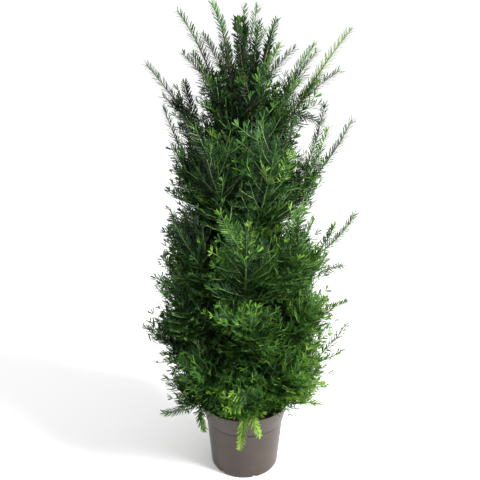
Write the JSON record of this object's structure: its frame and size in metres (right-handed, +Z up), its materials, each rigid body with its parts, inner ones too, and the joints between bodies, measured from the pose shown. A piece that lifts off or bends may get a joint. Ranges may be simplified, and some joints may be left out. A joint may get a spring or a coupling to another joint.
{
  "type": "potted english yew",
  "caption": "Narrow bushy evergreen conifer in a tapered round nursery pot, with a short trunk, rising boughs and dense masses of flat needles.",
  "frame": {"origin": "centre of the pot's flat underside, on the surface that it stands on", "axes": "+Z up along the trunk; the side that the picture shows faces -Y, with +X to its right"},
  "size_m": [0.5563, 0.4705, 1.2253],
  "materials": {
    "pot_plastic": "moulded, slightly worn satin",
    "compost": "crumbly and damp",
    "bark": "flaking brown bark",
    "bright_needles": "leathery, soft sheen",
    "green_needles": "leathery, soft sheen",
    "dark_needles": "leathery, soft sheen",
    "top_needles": "leathery, soft sheen"
  },
  "bodies": {
    "root": {"pot": "pot_plastic", "compost": "compost", "trunk": "bark", "skirt_bough_1": "bark", "skirt_foliage_1": "bright_needles", "skirt_bough_2": "bark", "skirt_foliage_2": "bright_needles", "skirt_bough_3": "bark", "skirt_foliage_3": "bright_needles", "skirt_bough_4": "bark", "skirt_foliage_4": "bright_needles", "skirt_bough_5": "bark", "skirt_foliage_5": "bright_needles", "low_bough_1": "bark", "low_foliage_1": "bright_needles", "low_bough_2": "bark", "low_foliage_2": "bright_needles", "low_bough_3": "bark", "low_foliage_3": "bright_needles", "low_bough_4": "bark", "low_foliage_4": "bright_needles", "low_bough_5": "bark", "low_foliage_5": "bright_needles", "low_bough_6": "bark", "low_foliage_6": "bright_needles", "middle_bough_1": "bark", "middle_foliage_1": "green_needles", "middle_bough_2": "bark", "middle_foliage_2": "green_needles", "middle_bough_3": "bark", "middle_foliage_3": "green_needles", "middle_bough_4": "bark", "middle_foliage_4": "green_needles", "middle_bough_5": "bark", "middle_foliage_5": "green_needles", "middle_bough_6": "bark", "middle_foliage_6": "green_needles", "upper_foliage_1": "dark_needles", "upper_foliage_2": "dark_needles", "upper_foliage_3": "dark_needles", "upper_foliage_4": "dark_needles", "upper_foliage_5": "dark_needles", "upper_foliage_6": "dark_needles", "upper_foliage_7": "dark_needles", "shoulder_foliage_1": "dark_needles", "shoulder_foliage_2": "dark_needles", "shoulder_foliage_3": "dark_needles", "shoulder_foliage_4": "dark_needles", "shoulder_foliage_5": "dark_needles", "shoulder_foliage_6": "dark_needles", "leader_centre": "top_needles", "leader_left": "top_needles", "leader_back_left": "top_needles", "leader_front": "top_needles", "leader_back_right": "top_needles", "leader_far_right": "top_needles", "leader_right": "top_needles", "leader_far_left": "top_needles", "leader_back": "top_needles", "leader_front_left": "top_needles"}
  },
  "joints": []
}
